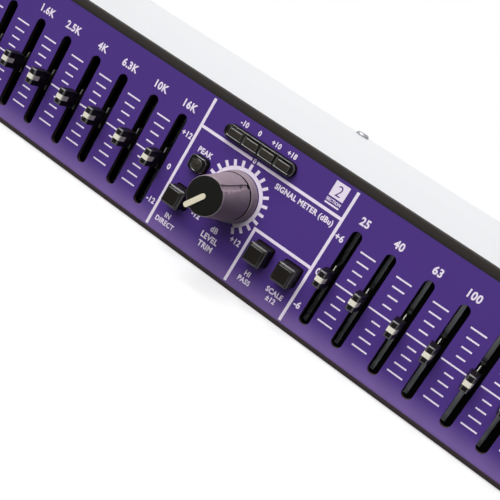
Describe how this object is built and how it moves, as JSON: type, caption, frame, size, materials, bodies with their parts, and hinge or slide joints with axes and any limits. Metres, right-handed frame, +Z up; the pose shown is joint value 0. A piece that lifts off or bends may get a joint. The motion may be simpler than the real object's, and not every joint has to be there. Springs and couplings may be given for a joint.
{
  "type": "graphic equalizer",
  "caption": "Rack-mount stereo graphic equalizer: a purple steel panel with rows of band faders, gain knobs, push buttons and lamp meters, in a flat plated case with audio sockets behind.",
  "frame": {"origin": "centre of the rack-screw pattern, on the mounting face behind the front panel", "axes": "+X to the right seen from the front, +Y from the front to the back, +Z up"},
  "size_m": [0.4826, 0.175, 0.0436],
  "materials": {
    "panel_paint": "satin purple paint, black on the rolled edges, with pale printed scales",
    "case_zinc": "bright zinc-plated folded steel",
    "board_laminate": "green solder mask on glass laminate",
    "plated_steel": "zinc-plated pressed steel",
    "switch_plastic": "moulded black plastic",
    "black_plastic": "moulded black plastic, semi gloss",
    "lamp_plastic": "smoked lamp plastic, unlit",
    "component_plastic": "dipped and moulded component bodies",
    "core_iron": "varnished laminations with taped windings",
    "socket_plastic": "moulded black plastic",
    "plated_nut": "nickel plate",
    "post_brass": "plated brass",
    "screw_steel": "bright zinc-plated steel",
    "cap_plastic": "moulded black plastic with a pale stripe",
    "knob_plastic": "turned satin sides, black front, cream pointer",
    "button_plastic": "moulded black plastic"
  },
  "bodies": {
    "case": {"front_panel": "panel_paint", "chassis_tray": "case_zinc", "rear_panel": "case_zinc", "top_cover": "case_zinc", "fader_board": "board_laminate", "main_board": "board_laminate", "slide_pots": "plated_steel", "gain_pots": "plated_steel", "push_switches": "switch_plastic", "lamp_frames": "black_plastic", "lamp_lenses": "lamp_plastic", "board_parts": "component_plastic", "transformer": "core_iron", "mains_inlet": "socket_plastic", "xlr_inputs": "socket_plastic", "xlr_outputs": "socket_plastic", "jack_sockets": "socket_plastic", "jack_nuts": "plated_nut", "board_posts": "post_brass", "pan_screws": "screw_steel", "lip_screws": "screw_steel"},
    "fader_1_25hz": {"fader_1_25hz": "cap_plastic"},
    "fader_1_40hz": {"fader_1_40hz": "cap_plastic"},
    "fader_1_63hz": {"fader_1_63hz": "cap_plastic"},
    "fader_1_100hz": {"fader_1_100hz": "cap_plastic"},
    "fader_1_160hz": {"fader_1_160hz": "cap_plastic"},
    "fader_1_250hz": {"fader_1_250hz": "cap_plastic"},
    "fader_1_400hz": {"fader_1_400hz": "cap_plastic"},
    "fader_1_630hz": {"fader_1_630hz": "cap_plastic"},
    "fader_1_1khz": {"fader_1_1khz": "cap_plastic"},
    "fader_1_1k6hz": {"fader_1_1k6hz": "cap_plastic"},
    "fader_1_2k5hz": {"fader_1_2k5hz": "cap_plastic"},
    "fader_1_4khz": {"fader_1_4khz": "cap_plastic"},
    "fader_1_6k3hz": {"fader_1_6k3hz": "cap_plastic"},
    "fader_1_10khz": {"fader_1_10khz": "cap_plastic"},
    "fader_1_16khz": {"fader_1_16khz": "cap_plastic"},
    "fader_2_25hz": {"fader_2_25hz": "cap_plastic"},
    "fader_2_40hz": {"fader_2_40hz": "cap_plastic"},
    "fader_2_63hz": {"fader_2_63hz": "cap_plastic"},
    "fader_2_100hz": {"fader_2_100hz": "cap_plastic"},
    "fader_2_160hz": {"fader_2_160hz": "cap_plastic"},
    "fader_2_250hz": {"fader_2_250hz": "cap_plastic"},
    "fader_2_400hz": {"fader_2_400hz": "cap_plastic"},
    "fader_2_630hz": {"fader_2_630hz": "cap_plastic"},
    "fader_2_1khz": {"fader_2_1khz": "cap_plastic"},
    "fader_2_1k6hz": {"fader_2_1k6hz": "cap_plastic"},
    "fader_2_2k5hz": {"fader_2_2k5hz": "cap_plastic"},
    "fader_2_4khz": {"fader_2_4khz": "cap_plastic"},
    "fader_2_6k3hz": {"fader_2_6k3hz": "cap_plastic"},
    "fader_2_10khz": {"fader_2_10khz": "cap_plastic"},
    "fader_2_16khz": {"fader_2_16khz": "cap_plastic"},
    "gain_knob_1": {"gain_knob_1": "knob_plastic"},
    "gain_knob_2": {"gain_knob_2": "knob_plastic"},
    "bypass_button_1": {"bypass_button_1": "button_plastic"},
    "low_cut_button_1": {"low_cut_button_1": "button_plastic"},
    "range_button_1": {"range_button_1": "button_plastic"},
    "bypass_button_2": {"bypass_button_2": "button_plastic"},
    "low_cut_button_2": {"low_cut_button_2": "button_plastic"},
    "range_button_2": {"range_button_2": "button_plastic"},
    "release_tab_1": {"release_tab_1": "plated_nut"},
    "release_tab_2": {"release_tab_2": "plated_nut"}
  },
  "joints": [
    {"name": "fader_1_25hz_slide", "type": "slide", "parent": "case", "child": "fader_1_25hz", "axis": [0, 0, 1], "range_m": [-0.01, 0.01]},
    {"name": "fader_1_40hz_slide", "type": "slide", "parent": "case", "child": "fader_1_40hz", "axis": [0, 0, 1], "range_m": [-0.01, 0.01]},
    {"name": "fader_1_63hz_slide", "type": "slide", "parent": "case", "child": "fader_1_63hz", "axis": [0, 0, 1], "range_m": [-0.01, 0.01]},
    {"name": "fader_1_100hz_slide", "type": "slide", "parent": "case", "child": "fader_1_100hz", "axis": [0, 0, 1], "range_m": [-0.01, 0.01]},
    {"name": "fader_1_160hz_slide", "type": "slide", "parent": "case", "child": "fader_1_160hz", "axis": [0, 0, 1], "range_m": [-0.01, 0.01]},
    {"name": "fader_1_250hz_slide", "type": "slide", "parent": "case", "child": "fader_1_250hz", "axis": [0, 0, 1], "range_m": [-0.01, 0.01]},
    {"name": "fader_1_400hz_slide", "type": "slide", "parent": "case", "child": "fader_1_400hz", "axis": [0, 0, 1], "range_m": [-0.01, 0.01]},
    {"name": "fader_1_630hz_slide", "type": "slide", "parent": "case", "child": "fader_1_630hz", "axis": [0, 0, 1], "range_m": [-0.01, 0.01]},
    {"name": "fader_1_1khz_slide", "type": "slide", "parent": "case", "child": "fader_1_1khz", "axis": [0, 0, 1], "range_m": [-0.01, 0.01]},
    {"name": "fader_1_1k6hz_slide", "type": "slide", "parent": "case", "child": "fader_1_1k6hz", "axis": [0, 0, 1], "range_m": [-0.01, 0.01]},
    {"name": "fader_1_2k5hz_slide", "type": "slide", "parent": "case", "child": "fader_1_2k5hz", "axis": [0, 0, 1], "range_m": [-0.01, 0.01]},
    {"name": "fader_1_4khz_slide", "type": "slide", "parent": "case", "child": "fader_1_4khz", "axis": [0, 0, 1], "range_m": [-0.01, 0.01]},
    {"name": "fader_1_6k3hz_slide", "type": "slide", "parent": "case", "child": "fader_1_6k3hz", "axis": [0, 0, 1], "range_m": [-0.01, 0.01]},
    {"name": "fader_1_10khz_slide", "type": "slide", "parent": "case", "child": "fader_1_10khz", "axis": [0, 0, 1], "range_m": [-0.01, 0.01]},
    {"name": "fader_1_16khz_slide", "type": "slide", "parent": "case", "child": "fader_1_16khz", "axis": [0, 0, 1], "range_m": [-0.01, 0.01]},
    {"name": "fader_2_25hz_slide", "type": "slide", "parent": "case", "child": "fader_2_25hz", "axis": [0, 0, 1], "range_m": [-0.01, 0.01]},
    {"name": "fader_2_40hz_slide", "type": "slide", "parent": "case", "child": "fader_2_40hz", "axis": [0, 0, 1], "range_m": [-0.01, 0.01]},
    {"name": "fader_2_63hz_slide", "type": "slide", "parent": "case", "child": "fader_2_63hz", "axis": [0, 0, 1], "range_m": [-0.01, 0.01]},
    {"name": "fader_2_100hz_slide", "type": "slide", "parent": "case", "child": "fader_2_100hz", "axis": [0, 0, 1], "range_m": [-0.01, 0.01]},
    {"name": "fader_2_160hz_slide", "type": "slide", "parent": "case", "child": "fader_2_160hz", "axis": [0, 0, 1], "range_m": [-0.01, 0.01]},
    {"name": "fader_2_250hz_slide", "type": "slide", "parent": "case", "child": "fader_2_250hz", "axis": [0, 0, 1], "range_m": [-0.01, 0.01]},
    {"name": "fader_2_400hz_slide", "type": "slide", "parent": "case", "child": "fader_2_400hz", "axis": [0, 0, 1], "range_m": [-0.01, 0.01]},
    {"name": "fader_2_630hz_slide", "type": "slide", "parent": "case", "child": "fader_2_630hz", "axis": [0, 0, 1], "range_m": [-0.01, 0.01]},
    {"name": "fader_2_1khz_slide", "type": "slide", "parent": "case", "child": "fader_2_1khz", "axis": [0, 0, 1], "range_m": [-0.01, 0.01]},
    {"name": "fader_2_1k6hz_slide", "type": "slide", "parent": "case", "child": "fader_2_1k6hz", "axis": [0, 0, 1], "range_m": [-0.01, 0.01]},
    {"name": "fader_2_2k5hz_slide", "type": "slide", "parent": "case", "child": "fader_2_2k5hz", "axis": [0, 0, 1], "range_m": [-0.01, 0.01]},
    {"name": "fader_2_4khz_slide", "type": "slide", "parent": "case", "child": "fader_2_4khz", "axis": [0, 0, 1], "range_m": [-0.01, 0.01]},
    {"name": "fader_2_6k3hz_slide", "type": "slide", "parent": "case", "child": "fader_2_6k3hz", "axis": [0, 0, 1], "range_m": [-0.01, 0.01]},
    {"name": "fader_2_10khz_slide", "type": "slide", "parent": "case", "child": "fader_2_10khz", "axis": [0, 0, 1], "range_m": [-0.01, 0.01]},
    {"name": "fader_2_16khz_slide", "type": "slide", "parent": "case", "child": "fader_2_16khz", "axis": [0, 0, 1], "range_m": [-0.01, 0.01]},
    {"name": "gain_knob_1_turn", "type": "hinge", "parent": "case", "child": "gain_knob_1", "pos_m": [-0.18611, 0, 0.00023], "axis": [0, 1, 0], "range_deg": [-5, 295]},
    {"name": "gain_knob_2_turn", "type": "hinge", "parent": "case", "child": "gain_knob_2", "pos_m": [0.01797, 0, 0.00023], "axis": [0, 1, 0], "range_deg": [-5, 295]},
    {"name": "bypass_button_1_press", "type": "slide", "parent": "case", "child": "bypass_button_1", "axis": [0, 1, 0], "range_m": [0, 0.0025], "stiffness_N_per_m": 300},
    {"name": "low_cut_button_1_press", "type": "slide", "parent": "case", "child": "low_cut_button_1", "axis": [0, 1, 0], "range_m": [0, 0.0025], "stiffness_N_per_m": 300},
    {"name": "range_button_1_press", "type": "slide", "parent": "case", "child": "range_button_1", "axis": [0, 1, 0], "range_m": [0, 0.0025], "stiffness_N_per_m": 300},
    {"name": "bypass_button_2_press", "type": "slide", "parent": "case", "child": "bypass_button_2", "axis": [0, 1, 0], "range_m": [0, 0.0025], "stiffness_N_per_m": 300},
    {"name": "low_cut_button_2_press", "type": "slide", "parent": "case", "child": "low_cut_button_2", "axis": [0, 1, 0], "range_m": [0, 0.0025], "stiffness_N_per_m": 300},
    {"name": "range_button_2_press", "type": "slide", "parent": "case", "child": "range_button_2", "axis": [0, 1, 0], "range_m": [0, 0.0025], "stiffness_N_per_m": 300},
    {"name": "release_tab_1_press", "type": "slide", "parent": "case", "child": "release_tab_1", "axis": [0, -1, 0], "range_m": [0, 0.0009], "stiffness_N_per_m": 500},
    {"name": "release_tab_2_press", "type": "slide", "parent": "case", "child": "release_tab_2", "axis": [0, -1, 0], "range_m": [0, 0.0009], "stiffness_N_per_m": 500}
  ]
}
